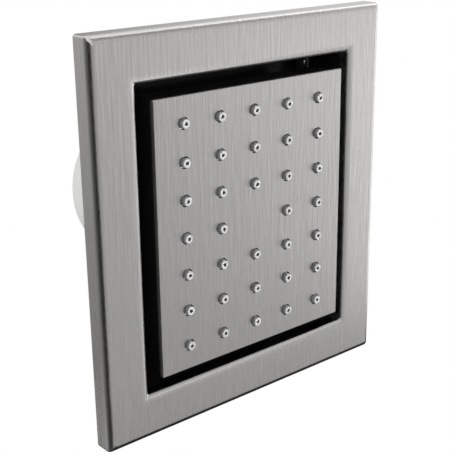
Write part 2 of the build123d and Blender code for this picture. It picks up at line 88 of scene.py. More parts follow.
# %% [markdown]
# ## Node helpers
# A material here is a Principled BSDF whose colour, roughness and bump come from small node groups. The
# nodes could be set by hand in the editor. These helpers add and link them in one line each, so that a
# finish reads like a recipe.


# %% Node helpers
def add_node(tree, kind, **values):
    """A new node; a value's key is one of its own properties, or an input's name with spaces as _."""
    node = tree.nodes.new(kind)
    for key, value in values.items():
        if hasattr(node, key):
            setattr(node, key, value)
        else:
            node.inputs[key.replace("_", " ")].default_value = value
    return node


def link(tree, source, output, target, entry):
    """Joins an output to an input, both by name or number."""
    tree.links.new(source.outputs[output], target.inputs[entry])


def new_finish(name):
    """A new material, with its node tree and its Principled BSDF."""
    finish = bpy.data.materials.new(name)
    finish.use_nodes = True
    return finish, finish.node_tree, finish.node_tree.nodes["Principled BSDF"]


# %% [markdown]
# ## Studio
# The photograph has a plain white ground. Stronger lamps could make it white, but they would bleach the
# object too. So the world is white to the camera and to reflections, and a gentler grey as a light: the
# Light Path node tells the rays apart.


# %% World
def seen_directly(tree):
    """A value that is 1 for rays from the camera, a mirror or glass, and 0 for light."""
    path = add_node(tree, "ShaderNodeLightPath")
    either = add_node(tree, "ShaderNodeMath", operation="MAXIMUM")
    any_of = add_node(tree, "ShaderNodeMath", operation="MAXIMUM")
    link(tree, path, "Is Camera Ray", either, 0)
    link(tree, path, "Is Glossy Ray", either, 1)
    link(tree, either, 0, any_of, 0)
    link(tree, path, "Is Transmission Ray", any_of, 1)
    return any_of


def white_ground(tree, plain, output, share=None):
    """White at strength 1 where seen directly, times an optional share, and else the plain shader."""
    white = add_node(tree, "ShaderNodeEmission", Color=(1, 1, 1, 1), Strength=1.0)
    mix = add_node(tree, "ShaderNodeMixShader")
    factor = seen_directly(tree)
    if share:
        both = add_node(tree, "ShaderNodeMath", operation="MULTIPLY")
        link(tree, factor, 0, both, 0)
        link(tree, share, 0, both, 1)
        factor = both
    link(tree, factor, 0, mix, 0)
    link(tree, plain, 0, mix, 1)
    link(tree, white, 0, mix, 2)
    link(tree, mix, 0, output, 0)


world = bpy.data.worlds.new("studio")
world.use_nodes = True
world_tree = world.node_tree
world_tree.nodes.clear()
sky = add_node(world_tree, "ShaderNodeBackground", Color=(1, 1, 1, 1), Strength=0.3)
white_ground(world_tree, sky, add_node(world_tree, "ShaderNodeOutputWorld"))
scene.world = world
print("world:", world.name)

# %% [markdown]
# ## Floor and white card
# The jet hangs free in the photograph, so a pale floor lies well below it, and a white card stands
# behind it. The floor could be one tone. Instead it glows white in a painted gradient of light, from grey on
# the left to white on the right, because the frame's steel mirrors it and goes the same way.


# %% Floor and white card
def flat_sheet(name, corner, across, along):
    """A rectangle from its corner and its two sides."""
    mesh = bpy.data.meshes.new(name)
    bm = bmesh.new()
    ring = (corner, corner + across, corner + across + along, corner + along)
    bm.faces.new([bm.verts.new(point) for point in ring])
    bm.to_mesh(mesh)
    bm.free()
    sheet = bpy.data.objects.new(name, mesh)
    scene.collection.objects.link(sheet)
    return sheet


def fade(tree, direction, start, end, first, last):
    """A tone that goes smoothly from first to last, as the reach in a direction goes from start to end."""
    place = add_node(tree, "ShaderNodeTexCoord")
    reach = add_node(tree, "ShaderNodeVectorMath", operation="DOT_PRODUCT")
    reach.inputs[1].default_value = direction
    link(tree, place, "Object", reach, 0)
    tone = add_node(
        tree,
        "ShaderNodeMapRange",
        interpolation_type="SMOOTHSTEP",
        From_Min=start,
        From_Max=end,
        To_Min=first,
        To_Max=last,
    )
    link(tree, reach, "Value", tone, "Value")
    return tone


floor_level, floor_side = -0.62, 40
floor_corner = Vector((-floor_side / 2, -floor_side / 2, floor_level))
floor = flat_sheet("floor", floor_corner, Vector((floor_side, 0, 0)), Vector((0, floor_side, 0)))
floor_finish, floor_tree, floor_shader = new_finish("pale_floor")
floor_shader.inputs["Base Color"].default_value = (0.62, 0.62, 0.61, 1)
floor_shader.inputs["Roughness"].default_value = 0.9
to_the_right = (1.0, 0.6, 0.0)
# The share of white is painted light on the floor, growing towards the right.
whiter = fade(floor_tree, to_the_right, start=0.0, end=1.18, first=0.305, last=1.0)
white_ground(floor_tree, floor_shader, floor_tree.nodes["Material Output"], whiter)
floor.data.materials.append(floor_finish)

view_across, view_along = Vector((0.765, -0.645, 0)), Vector((0.645, 0.765, 0))
card_far, card_left, card_tall = 0.62, 0.5, 1.4
card_foot = view_along * card_far - view_across * card_left + Vector((0, 0, floor_level))
card = flat_sheet("white_card", card_foot, view_across, Vector((0, 0, card_tall)))
card_finish, card_tree, card_shader = new_finish("white_card")
white_ground(card_tree, card_shader, card_tree.nodes["Material Output"])
card.data.materials.append(card_finish)
print("floor at", floor_level, "m, card", [round(v, 2) for v in card_foot])

# %% [markdown]
# ## Lamps
# The photograph's light is soft and has no clear shadow. One large lamp could give that, but metal would
# mirror it as a patch. So three broad lamps that metal doesn't mirror share the work, and a fourth, high
# on the right, does nothing but draw highlights on the metal.


# %% Lamps
def area_lamp(name, place, size, power, target=(0, 0, 0), mirrored=False, spread=180):
    """A square soft lamp that faces a point, and that metal mirrors only if asked."""
    data = bpy.data.lights.new(name, "AREA")
    data.size = size
    data.energy = power
    data.spread = radians(spread)
    lamp = bpy.data.objects.new(name, data)
    lamp.location = place
    lamp.rotation_euler = (Vector(target) - Vector(place)).to_track_quat("-Z", "Y").to_euler()
    lamp.visible_camera = False
    lamp.visible_glossy = mirrored
    scene.collection.objects.link(lamp)
    return lamp


key = area_lamp("key", (0.45, -1.35, 0.0), size=0.5, power=2.1, spread=50)
left_fill = area_lamp("left_fill", (-1.0, 0.35, 0.35), size=0.7, power=7, target=(0, 0.03, 0))
right_fill = area_lamp("right_fill", (1.2, -0.2, -0.2), size=0.35, power=2.0)
overhead = area_lamp("overhead", (0.95, 0.1, 0.85), size=0.5, power=0.9, mirrored=True)
overhead.visible_diffuse = False
print("lamps:", [lamp.name for lamp in (key, left_fill, right_fill, overhead)])

# %% [markdown]
# ## Cards for the reflections
# Brushed metal shows what it faces, so a photographer stands cards round it. More lamps could draw the
# same lines along the rolled edges, but they would light the soft parts as well. Cards that only
# reflections see change nothing but the metal: a dark one behind the camera and one below, grey ones all
# round, and a narrow bright strip on the right for the line on the left lip. A grey card's tone changes
# along it, as a studio wall's does near a lamp.


# %% Cards for the reflections
def mirror_card(name, corner, across, along, run, first, last):
    """A card that only mirrors see; its tone goes from first to last along run, and 1 is white."""
    corner, run = Vector(corner), Vector(run)
    sheet = flat_sheet(name, corner, Vector(across), Vector(along))
    finish, tree, _ = new_finish(name)
    start = corner.dot(run) / run.length_squared
    tone = fade(tree, run / run.length_squared, start, start + 1, first, last)
    glow = add_node(tree, "ShaderNodeEmission", Color=(1, 1, 1, 1))
    link(tree, tone, 0, glow, "Strength")
    link(tree, glow, 0, tree.nodes["Material Output"], 0)
    sheet.data.materials.append(finish)
    sheet.visible_camera = False
    sheet.visible_diffuse = False
    sheet.visible_shadow = False


camera_side, left_side, back_side = (-0.325, 0.282, 0), (0, 0.56, 0), (0.6, 0.75, 0)
front_side, lean_down, lean_run = (1.17, 0.6, 0), (0, -0.5, -1.0), (0.579, -0.207, -1.006)
wall_tall, strip_side, strip_tall = (0, 0, 1.2), (0.049, 0.146, 0), (0, 0, 0.6)
right_corner = view_along * 0.6 - view_across * card_left + Vector((0, 0, 0.02))
# Each row has a card's name, corner and two sides, the way its tone runs, and its first and last tone.
cards = (
    ("card_behind_camera", (-0.269, -0.569, -0.6), camera_side, (0, 0, 0.75), camera_side, 0.01, 0.01),
    ("card_below", (-0.35, -0.43, -0.42), (1.3, 0, 0), (0, 1.2, 0), (0, 0.2, 0), 0.3, 0.02),
    ("card_left", (-0.594, -0.287, -0.6), left_side, wall_tall, left_side, 0.05, 0.24),
    ("card_left_back", (-0.95, 0.45, -0.6), back_side, wall_tall, wall_tall, 0.28, 0.8),
    ("card_right_back", right_corner, view_across, (0, 0, 0.7), view_across * 0.7, 0.0, 0.85),
    ("card_front", (0.13, -1.5, -0.14), front_side, (0, 0, 0.61), front_side, 0.36, 0.84),
    ("card_front_above", (0.13, -1.0, 1.47), front_side, lean_down, lean_run, 0.03, 0.52),
    ("strip_right", (0.824, -0.367, -0.6), strip_side, strip_tall, strip_tall, 2.5, 2.5),
)
for row in cards:
    mirror_card(*row)
print("cards:", [row[0] for row in cards])

# %% [markdown]
# ## Brushed steel
# The frame and the plate are stainless steel drawn over an abrasive belt, which leaves fine upright
# lines. A picture of brushed metal could be wrapped round them, but it would smear on the sides. A noise
# stretched along Z gives the lines on every side alike. They are seen less by their colour than by their
# slopes, which turn the reflections a little: strong where the studio goes from grey to white, faint
# where it is even. So broad lines and fine ones lift the surface, and coarse ones tint it.


# %% Brush lines group
def new_group(name, inputs, outputs):
    """An empty node group of numbers, from its inputs with their defaults and its outputs' names."""
    tree = bpy.data.node_groups.new(name, "ShaderNodeTree")
    for label, default in inputs.items():
        socket = tree.interface.new_socket(label, in_out="INPUT", socket_type="NodeSocketFloat")
        socket.default_value = default
    for label in outputs:
        tree.interface.new_socket(label, in_out="OUTPUT", socket_type="NodeSocketFloat")
    return tree, tree.nodes.new("NodeGroupInput"), tree.nodes.new("NodeGroupOutput")


# Each row has a set's name, its width and length as shares of the group's, and its noise's detail.
line_sets = (("Broad", 2.2, 1.0, 0.0), ("Coarse", 1.0, 1.0, 4.0), ("Fine", 0.3, 0.7, 2.0))
brush, brush_in, brush_out = new_group(
    "brush_lines",
    {"Line Width": 0.6, "Line Length": 40.0},
    [row[0] for row in line_sets],
)
brush_place = add_node(brush, "ShaderNodeTexCoord")
for label, wider, longer, detail in line_sets:
    stretch = add_node(brush, "ShaderNodeCombineXYZ")
    for entry, share, axes in (("Line Width", wider, "XY"), ("Line Length", longer, "Z")):
        scale = add_node(brush, "ShaderNodeMath", operation="DIVIDE")
        scale.inputs[0].default_value = 1 / (mm * share)
        link(brush, brush_in, entry, scale, 1)
        for axis in axes:
            link(brush, scale, 0, stretch, axis)
    scaled = add_node(brush, "ShaderNodeVectorMath", operation="MULTIPLY")
    link(brush, brush_place, "Object", scaled, 0)
    link(brush, stretch, 0, scaled, 1)
    lines = add_node(brush, "ShaderNodeTexNoise", Scale=1.0, Detail=detail, Roughness=0.6)
    link(brush, scaled, 0, lines, "Vector")
    link(brush, lines, "Fac", brush_out, label)
print("group:", brush.name, [row[0] for row in line_sets])

# %% [markdown]
# ## Metals
# The same group serves every metal, with its own sizes: long lines on the sheet, short ones on turned and
# plated parts. On the sheet the lines also spread a reflection sideways, far more than a plain rough
# metal would. Thousands of finer lines could do that, but the shader's anisotropy does it at once.


# %% Brushed metals
def remap(tree, source, output, low, high):
    """Stretches a noise round its middle to the range low to high."""
    node = add_node(tree, "ShaderNodeMapRange", From_Min=0.3, From_Max=0.7, To_Min=low, To_Max=high)
    link(tree, source, output, node, "Value")
    return node


def tint(tree, factor, dark, light):
    """A colour between two, by a factor from 0 to 1."""
    mix = add_node(tree, "ShaderNodeMix", data_type="RGBA")
    # Its inputs share their names, so the two colours go by number, and so does the colour that comes out.
    mix.inputs[6].default_value = (*dark, 1)
    mix.inputs[7].default_value = (*light, 1)
    link(tree, factor, 0, mix, 0)
    return mix


def brushed_metal(name, dark, light, rough, width, length, lift, ripple, spread=0.0):
    """Metal with brush lines in its colour, roughness and surface.

    A line's width and length are in millimetres, its lift and the broad ripple in metres, and spread says
    how far the lines stretch a reflection sideways.
    """
    finish, tree, shader = new_finish(name)
    shader.inputs["Metallic"].default_value = 1.0
    lines = add_node(tree, "ShaderNodeGroup", node_tree=brush, Line_Width=width, Line_Length=length)
    shade = tint(tree, remap(tree, lines, "Coarse", 0, 1), dark, light)
    link(tree, shade, 2, shader, "Base Color")
    link(tree, remap(tree, lines, "Fine", *rough), 0, shader, "Roughness")
    bump = add_node(tree, "ShaderNodeBump", Strength=0.35, Distance=lift)
    link(tree, lines, "Fine", bump, "Height")
    wave = add_node(tree, "ShaderNodeBump", Strength=1.0, Distance=ripple)
    link(tree, lines, "Broad", wave, "Height")
    link(tree, bump, 0, wave, "Normal")
    link(tree, wave, 0, shader, "Normal")
    along_lines = add_node(tree, "ShaderNodeVectorTransform", convert_from="OBJECT", convert_to="WORLD")
    # The lines' direction leans a little, so that it never lies along a level face's normal.
    along_lines.inputs[0].default_value = (0, 0.05, 1)
    surface = add_node(tree, "ShaderNodeNewGeometry")
    across_lines = add_node(tree, "ShaderNodeVectorMath", operation="CROSS_PRODUCT")
    link(tree, surface, "Normal", across_lines, 0)
    link(tree, along_lines, 0, across_lines, 1)
    link(tree, across_lines, 0, shader, "Tangent")
    shader.inputs["Anisotropic"].default_value = spread
    return finish


sheet_brush = dict(rough=(0.22, 0.3), width=0.4, length=12, lift=3.5e-5, ripple=5e-5, spread=0.75)
steel = brushed_metal("brushed_steel", (0.592, 0.584, 0.57), (0.68, 0.672, 0.658), **sheet_brush)
plate_steel = brushed_metal("plate_steel", (0.545, 0.538, 0.527), (0.627, 0.62, 0.608), **sheet_brush)
spring = brushed_metal("spring_steel", (0.6, 0.59, 0.57), (0.72, 0.71, 0.69), (0.2, 0.3), 0.4, 9, 1e-5, 1e-5)
zinc = brushed_metal("zinc_steel", (0.56, 0.57, 0.6), (0.66, 0.67, 0.7), (0.25, 0.4), 1.2, 1.2, 1e-5, 1e-5)
brass = brushed_metal("brass", (0.66, 0.48, 0.2), (0.76, 0.58, 0.28), (0.2, 0.34), 0.5, 0.5, 1e-5, 1e-5)
chrome = brushed_metal("chrome", (0.78, 0.78, 0.8), (0.82, 0.82, 0.84), (0.06, 0.12), 3.0, 3.0, 2e-6, 1e-6)
print("metals:", [finish.name for finish in (steel, plate_steel, spring, zinc, brass, chrome)])

# %% [markdown]
# ## Moulded parts
# Plastic and rubber come out of a mould with a fine even grain and faint flow marks. Each could have its
# own nodes. One group gives both marks to all of them: a fine noise for the grain, and a broad soft noise
# that varies colour and gloss.

# %% Moulded grain group
mould, mould_in, mould_out = new_group(
    "moulded_grain",
    {"Grain Size": 0.5, "Flow Size": 18.0},
    ("Grain", "Flow"),
)
mould_place = add_node(mould, "ShaderNodeTexCoord")
for label, entry, detail in (("Grain", "Grain Size", 2.0), ("Flow", "Flow Size", 3.0)):
    scale = add_node(mould, "ShaderNodeMath", operation="DIVIDE")
    scale.inputs[0].default_value = 1 / mm
    link(mould, mould_in, entry, scale, 1)
    noise = add_node(mould, "ShaderNodeTexNoise", Detail=detail, Roughness=0.5)
    link(mould, mould_place, "Object", noise, "Vector")
    link(mould, scale, 0, noise, "Scale")
    link(mould, noise, "Fac", mould_out, label)
print("group:", mould.name)


# %% Plastics and rubber
def moulded(name, dark, light, rough, grain, lift, flow=18.0):
    """Plastic or rubber with flow marks in its colour and gloss, and a fine grain.

    The grain and the flow marks are in millimetres, and the grain's lift is in metres.
    """
    finish, tree, shader = new_finish(name)
    marks = add_node(tree, "ShaderNodeGroup", node_tree=mould, Grain_Size=grain, Flow_Size=flow)
    shade = tint(tree, remap(tree, marks, "Flow", 0, 1), dark, light)
    link(tree, shade, 2, shader, "Base Color")
    link(tree, remap(tree, marks, "Flow", *rough), 0, shader, "Roughness")
    bump = add_node(tree, "ShaderNodeBump", Strength=0.3, Distance=lift)
    link(tree, marks, "Grain", bump, "Height")
    link(tree, bump, 0, shader, "Normal")
    return finish


dark_plastic = moulded("dark_plastic", (0.008, 0.008, 0.008), (0.014, 0.014, 0.014), (0.5, 0.62), 0.5, 3e-5)
head_plastic = moulded("head_plastic", (0.014, 0.014, 0.014), (0.024, 0.024, 0.024), (0.3, 0.42), 0.4, 2e-5)
white_plastic = moulded("white_plastic", (0.76, 0.76, 0.75), (0.84, 0.84, 0.83), (0.38, 0.5), 0.6, 3e-5)
rubber = moulded("black_rubber", (0.012, 0.012, 0.012), (0.022, 0.022, 0.022), (0.6, 0.75), 0.4, 4e-5)
foam = moulded("foam", (0.03, 0.03, 0.03), (0.06, 0.06, 0.06), (0.85, 0.95), 0.9, 4e-4, 3.0)
nozzle_rubber = moulded("nozzle_rubber", (0.46, 0.46, 0.46), (0.52, 0.52, 0.52), (0.36, 0.46), 0.3, 1e-5)
# The bore's darker grey is painted shade in each nozzle's hole, on the same rubber.
bore_painted_shade = moulded("bore_painted_shade", (0.24, 0.24, 0.24), (0.3, 0.3, 0.3), (0.5, 0.6), 0.3, 1e-5)
# A dark grey for the plate's cut sides and hole walls, painted shade in place of steel.
plate_cut_painted_shade = moulded("plate_cut_painted_shade", (0.1, 0.1, 0.1), (0.14, 0.14, 0.14), (0.5, 0.6), 0.3, 1e-5)
grey_plastic = moulded("grey_plastic", (0.3, 0.31, 0.32), (0.38, 0.39, 0.4), (0.4, 0.5), 0.4, 2e-5)
acetal = moulded("acetal", (0.72, 0.72, 0.68), (0.8, 0.8, 0.76), (0.3, 0.4), 0.4, 1e-5)
mouldings = (dark_plastic, head_plastic, white_plastic, grey_plastic, acetal, rubber, nozzle_rubber, foam)
print("mouldings:", [finish.name for finish in mouldings])

# %% [markdown]
# ## Finishes on the solid pieces
# The solids that stay as they are, such as the gaskets, the swivel and the filter, need a finish too.
# Each could be dressed by hand. Every solid has a finish slot in the record, so one table dresses all.

# %% Dress the solids
finishes = {
    "brushed_steel": steel,
    "foam": foam,
    "dark_plastic": dark_plastic,
    "spring_steel": spring,
    "white_plastic": white_plastic,
    "black_rubber": rubber,
    "zinc_steel": zinc,
    "brass": brass,
    "chrome": chrome,
    "grey_plastic": grey_plastic,
    "acetal": acetal,
    "head_plastic": head_plastic,
    "nozzle_rubber": nozzle_rubber,
}
slot_of = {entry["node"]: entry["material_slot"] for entry in frame["record"]["subparts"]}
for name, node in nodes.items():
    node.data.materials.clear()
    node.data.materials.append(finishes[slot_of[name]])
print("dressed:", len(slot_of), "solids in", len(finishes), "finishes")

# %% [markdown]
# ## Trim frame
# The frame is one sheet of steel, pressed so that its outer edge and the lip round the opening roll over.
# It could be four bars joined at the corners, but those would leave seams. Instead a block loses its
# back, its front is inset and the opening is drawn inwards, which leaves one sheet.


# %% Pressed sheet
def block(bm, low, high):
    """Adds a box between two corners and returns its vertices."""
    low, high = Vector(low), Vector(high)
    place = Matrix.LocRotScale((low + high) / 2, None, high - low)
    return bmesh.ops.create_cube(bm, size=1.0, matrix=place)["verts"]


trim_low, trim_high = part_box("trim_frame")
half_wide, half_tall, trim_front = trim_high.x, trim_high.z, trim_low.y
side_bar, end_bar, lip_depth = 16.75 * mm, 16.55 * mm, 5.0 * mm
window_wide, window_tall = half_wide - side_bar, half_tall - end_bar

trim = bmesh.new()
block(trim, trim_low, (half_wide, 0, half_tall))
bmesh.ops.delete(trim, geom=[f for f in trim.faces if f.normal.y > 0.9], context="FACES_ONLY")
front = next(f for f in trim.faces if f.normal.y < -0.9)
bmesh.ops.inset_region(trim, faces=[front], thickness=side_bar, use_even_offset=True)
bmesh.ops.scale(trim, verts=front.verts, vec=(1, 1, window_tall / (half_tall - side_bar)))
drawn = bmesh.ops.extrude_face_region(trim, geom=[front])["geom"]
drawn_face = next(g for g in drawn if isinstance(g, bmesh.types.BMFace))
bmesh.ops.translate(trim, verts=drawn_face.verts, vec=(0, lip_depth, 0))
bmesh.ops.delete(trim, geom=[front, drawn_face], context="FACES_ONLY")
print("pressed sheet:", len(trim.faces), "faces, window", round(2 * window_wide / mm, 1), "mm wide")

# %% [markdown]
# ## Rolled rims
# A press rolls the outer edge in a plain round, and the lip in a flatter one, less than half as deep as
# it is wide, which catches a broad band of the studio. A round bevel on the lip is pushed flatter
# afterwards, because a bevel has one radius. Bevelling only the long edges leaves true mitres, which a
# second, fine bevel softens.

# %% Rolled rims
hair = 0.02 * mm
edge_radius, lip_width, lip_drop = 2.5 * mm, 3.0 * mm, 1.3 * mm


def near(a, b):
    """Whether two lengths are the same to within a hair."""
    return abs(a - b) < hair


def bevel(bm, edges, width, segments):
    """Rounds edges to a radius."""
    bmesh.ops.bevel(
        bm,
        geom=edges,
        offset=width,
        offset_type="OFFSET",
        affect="EDGES",
        segments=segments,
        profile=0.5,
        clamp_overlap=True,
        material=-1,
    )


def front_rim(wide, tall):
    """The sheet's front edges that lie along an oblong of that half width and half height."""
    chosen = []
    for edge in trim.edges:
        a, b = edge.verts[0].co, edge.verts[1].co
        upright = near(abs(a.x), wide) and near(a.x, b.x)
        level = near(abs(a.z), tall) and near(a.z, b.z)
        if (upright or level) and near(a.y, trim_front) and near(b.y, trim_front):
            chosen.append(edge)
    return chosen


def in_window(co, reach):
    """Whether a point lies in the window or within a reach round it."""
    return abs(co.x) < window_wide + reach and abs(co.z) < window_tall + reach


outer_rim = front_rim(half_wide, half_tall)
print("outer rim:", len(outer_rim), "edges")
bevel(trim, outer_rim, edge_radius, segments=8)
inner_rim = front_rim(window_wide, window_tall)
print("inner rim:", len(inner_rim), "edges")
bevel(trim, inner_rim, lip_width, segments=10)
for vert in trim.verts:
    if in_window(vert.co, lip_width) and vert.co.y < trim_front + lip_width + hair:
        vert.co.y = trim_front + (vert.co.y - trim_front) * lip_drop / lip_width

# %% Corners, mitres and thickness
corner_radius, mitre_radius, sheet_wall, corner_reach = 1.0 * mm, 0.6 * mm, 2.0 * mm, 4.0 * mm


def sharp_edges(bm, angle, where=lambda co: True):
    """The edges that fold by more than an angle in degrees, with both ends where asked."""
    folds = [e for e in bm.edges if len(e.link_faces) == 2 and e.calc_face_angle() > radians(angle)]
    return [e for e in folds if all(where(v.co) for v in e.verts)]


def at_corner(co):
    """Whether a point is close to one of the frame's four outer corners."""
    return abs(co.x) > half_wide - corner_reach and abs(co.z) > half_tall - corner_reach


def at_mitre(co):
    """Whether a point is close to the window, where the lip's mitres are."""
    return in_window(co, corner_reach)


bevel(trim, sharp_edges(trim, angle=20, where=at_corner), corner_radius, segments=3)
bevel(trim, sharp_edges(trim, angle=30, where=at_mitre), mitre_radius, segments=3)
bmesh.ops.recalc_face_normals(trim, faces=trim.faces)
bmesh.ops.solidify(trim, geom=trim.faces, thickness=sheet_wall)
print("frame with its wall:", len(trim.faces), "faces")

# %% [markdown]
# ## Frame legs
# Four legs behind the frame slide into the clips. They could be a piece of their own, but on the real
# frame they are welded on, so their blocks join its mesh.


# %% Frame legs
def make_piece(name, bm, finish, body, slot, *stands_for, smooth=35):
    """Turns a bmesh into a finished piece that rides on a body and may stand for solids."""
    mesh = bpy.data.meshes.new(name)
    bm.to_mesh(mesh)
    bm.free()
    mesh.materials.append(finish)
    mesh.shade_smooth()
    mesh.set_sharp_from_angle(angle=radians(smooth))
    piece = bpy.data.objects.new(name, mesh)
    scene.collection.objects.link(piece)
    even = piece.modifiers.new("even_normals", "WEIGHTED_NORMAL")
    even.keep_sharp = True
    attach(piece, body)
    if stands_for:
        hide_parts(*stands_for)
    print(name, len(mesh.polygons), "faces")
    return piece


leg_thick, leg_tall, leg_round = 1.6 * mm, 8.0 * mm, 0.5 * mm
leg_across, leg_up, leg_root = 50.6 * mm, 47.0 * mm, trim_front + sheet_wall
leg_size = Vector((leg_thick, trim_high.y - leg_root, leg_tall))
for side in (-1, 1):
    for level in (-1, 1):
        foot = Vector((side * leg_across - leg_thick / 2, leg_root, level * leg_up - leg_tall / 2))
        leg = block(trim, foot, foot + leg_size)
        tip_edges = [e for e in trim.edges if all(v in leg and near(v.co.y, trim_high.y) for v in e.verts)]
        bevel(trim, tip_edges, leg_round, segments=2)
make_piece("trim_frame_pressed", trim, steel, "fixed", "brushed_steel", "trim_frame")

# %% [markdown]
# ## Nozzles
# All the nozzles are one soft moulding, so that a thumb can rub the scale off them. One could be built
# from cylinders and a boolean. It takes less to draw half its section with a few points and spin it round
# the jet. A bevel rounds its two rims, and its bore takes a darker grey, which is painted shade in the hole.

# %% One nozzle
weld = 0.001 * mm


def lathe(bm, section, steps):
    """Spins a section, a list of (radius, depth), round Y; one that starts on the axis isn't closed."""
    ring = [bm.verts.new((radius, depth, 0)) for radius, depth in section]
    ends = ring[1:] if section[0][0] == 0 else ring[1:] + ring[:1]
    rim = [bm.edges.new(pair) for pair in zip(ring, ends)]
    bmesh.ops.spin(bm, geom=ring + rim, angle=2 * pi, steps=steps, axis=(0, 1, 0), use_merge=True)
    bmesh.ops.remove_doubles(bm, verts=bm.verts, dist=weld)
    bmesh.ops.recalc_face_normals(bm, faces=bm.faces)


def round_edges(bm, depth, radius):
    """The edges of a spun piece that go round it at a depth and a radius."""
    return [e for e in bm.edges if all(near(v.co.y, depth) and near(v.co.xz.length, radius) for v in e.verts)]


mat_low, mat_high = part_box("nozzle_mat")
plate_low, plate_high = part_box("face_plate")
tip, root, bore_end = mat_low.y, plate_high.y, mat_low.y + 2.8 * mm
nozzle_radius, tip_radius, jet_radius = 1.76 * mm, 1.57 * mm, 0.62 * mm
tip_round, jet_round = 0.36 * mm, 0.1 * mm
half_nozzle = [
    (0, root),
    (nozzle_radius, root),
    (tip_radius, tip),
    (jet_radius, tip),
    (jet_radius, bore_end),
    (0, bore_end),
]
mat = bmesh.new()
lathe(mat, half_nozzle, steps=28)
bevel(mat, round_edges(mat, tip, tip_radius), tip_round, segments=3)
bevel(mat, round_edges(mat, tip, jet_radius), jet_round, segments=2)
# Faces in the bore take the darker grey, painted shade inside each nozzle.
for face in mat.faces:
    inside = all(v.co.xz.length < jet_radius + hair for v in face.verts)
    face.material_index = int(inside and face.calc_center_median().y < bore_end + hair)
print("one nozzle:", len(mat.faces), "faces")

# %% [markdown]
# ## Grid of nozzles
# Copies of the nozzle fill five columns and seven rows, which leave their middle place empty. An array
# modifier would fill that place too, so each copy is set by itself. A thin slab behind the plate joins
# them, as the moulding's own web does.


# %% Grid of nozzles
def everything(bm):
    """All vertices, edges and faces of a shape."""
    return bm.verts[:] + bm.edges[:] + bm.faces[:]


def verts_in(geom):
    """The vertices among vertices, edges and faces."""
    return [g for g in geom if isinstance(g, bmesh.types.BMVert)]


columns, rows, pitch = 5, 7, Vector((15.2, 0, 13.0)) * mm
places = [
    Vector(((column - columns // 2) * pitch.x, 0, (row - rows // 2) * pitch.z))
    for column in range(columns)
    for row in range(rows)
    if (column, row) != (columns // 2, rows // 2)
]
one = everything(mat)
for place in places:
    copy = bmesh.ops.duplicate(mat, geom=one)["geom"]
    bmesh.ops.translate(mat, verts=verts_in(copy), vec=place)
bmesh.ops.delete(mat, geom=verts_in(one), context="VERTS")
block(mat, (mat_low.x, plate_high.y, mat_low.z), mat_high)
nozzle_mat = make_piece("nozzle_mat_moulded", mat, nozzle_rubber, "head", "nozzle_rubber", "nozzle_mat")
nozzle_mat.data.materials.append(bore_painted_shade)
print("nozzles:", len(places))

# %% [markdown]
# ## Face plate
# The plate is cut from the same brushed sheet as the frame and pierced for the nozzles. Its corners are
# nearly sharp and its rim is barely broken. Its cut sides and the walls of its holes take a dark grey finish
# of their own, which is painted shade in place of steel. A block is bevelled, and a boolean with a grid of
# cylinders pierces it, which is quicker than bridging thirty-four rings into one face.

# %% Boolean cut
sliver = 0.0005 * mm


def carve(bm, cutter):
    """The first shape less the second, by an exact boolean that is applied at once."""
    pair = []
    for name, shape in (("body", bm), ("cutter", cutter)):
        mesh = bpy.data.meshes.new(name)
        shape.to_mesh(mesh)
        shape.free()
        holder = bpy.data.objects.new(name, mesh)
        scene.collection.objects.link(holder)
        pair.append(holder)
    body, blade = pair
    cut = body.modifiers.new("cut", "BOOLEAN")
    cut.operation = "DIFFERENCE"
    cut.solver = "EXACT"
    cut.object = blade
    bpy.context.view_layer.update()
    result = bmesh.new()
    result.from_object(body, bpy.context.evaluated_depsgraph_get())
    bmesh.ops.remove_doubles(result, verts=result.verts, dist=weld)
    bmesh.ops.dissolve_degenerate(result, edges=result.edges, dist=sliver)
    bmesh.ops.recalc_face_normals(result, faces=result.faces)
    for holder in pair:
        mesh = holder.data
        bpy.data.objects.remove(holder)
        bpy.data.meshes.remove(mesh)
    return result


# %% Face plate
plate_corner, plate_rim = 0.5 * mm, 0.35 * mm
hole_radius, punch_length, edge_on = 2.15 * mm, 6 * mm, 0.1
plate = bmesh.new()
block(plate, plate_low, plate_high)
corner_edges = [e for e in plate.edges if near(e.calc_length(), plate_high.y - plate_low.y)]
bevel(plate, corner_edges, plate_corner, segments=3)
rim = [e for e in plate.edges if all(near(v.co.y, plate_low.y) for v in e.verts)]
bevel(plate, rim, plate_rim, segments=3)
punches = bmesh.new()
for place in places:
    centre = Matrix.Translation(place + Vector((0, (plate_low.y + plate_high.y) / 2, 0)))
    bmesh.ops.create_cone(
        punches,
        cap_ends=True,
        segments=32,
        radius1=hole_radius,
        radius2=hole_radius,
        depth=punch_length,
        matrix=centre @ Matrix.Rotation(pi / 2, 4, "X"),
    )
plate = carve(plate, punches)
# The plate's cut sides and hole walls take the dark grey, painted shade.
for face in plate.faces:
    face.material_index = int(abs(face.normal.y) < edge_on)
face_plate = make_piece("face_plate_pierced", plate, plate_steel, "head", "brushed_steel", "face_plate")
face_plate.data.materials.append(plate_cut_painted_shade)

# %% [markdown]
# ## Softened mouldings
# No moulded, cast or cut part has a knife edge. These parts could be modelled again from nothing, but
# their solids already have the right shape. So a copy of each solid's mesh is merged, its flat triangles
# are joined again, and its sharp edges get a small bevel that catches the light.

# %% Softening
flat = radians(1)


def softened(node, width, finish, body):
    """A copy of a solid with rounded edges, which stands for it."""
    bm = bmesh.new()
    bm.from_mesh(nodes[node].data)
    bmesh.ops.remove_doubles(bm, verts=bm.verts, dist=weld)
    bmesh.ops.dissolve_limit(bm, angle_limit=flat, verts=bm.verts, edges=bm.edges)
    bevel(bm, sharp_edges(bm, angle=30), width, segments=2)
    bmesh.ops.dissolve_degenerate(bm, edges=bm.edges, dist=sliver)
    make_piece(node + "_softened", bm, finish, body, slot_of[node], node)


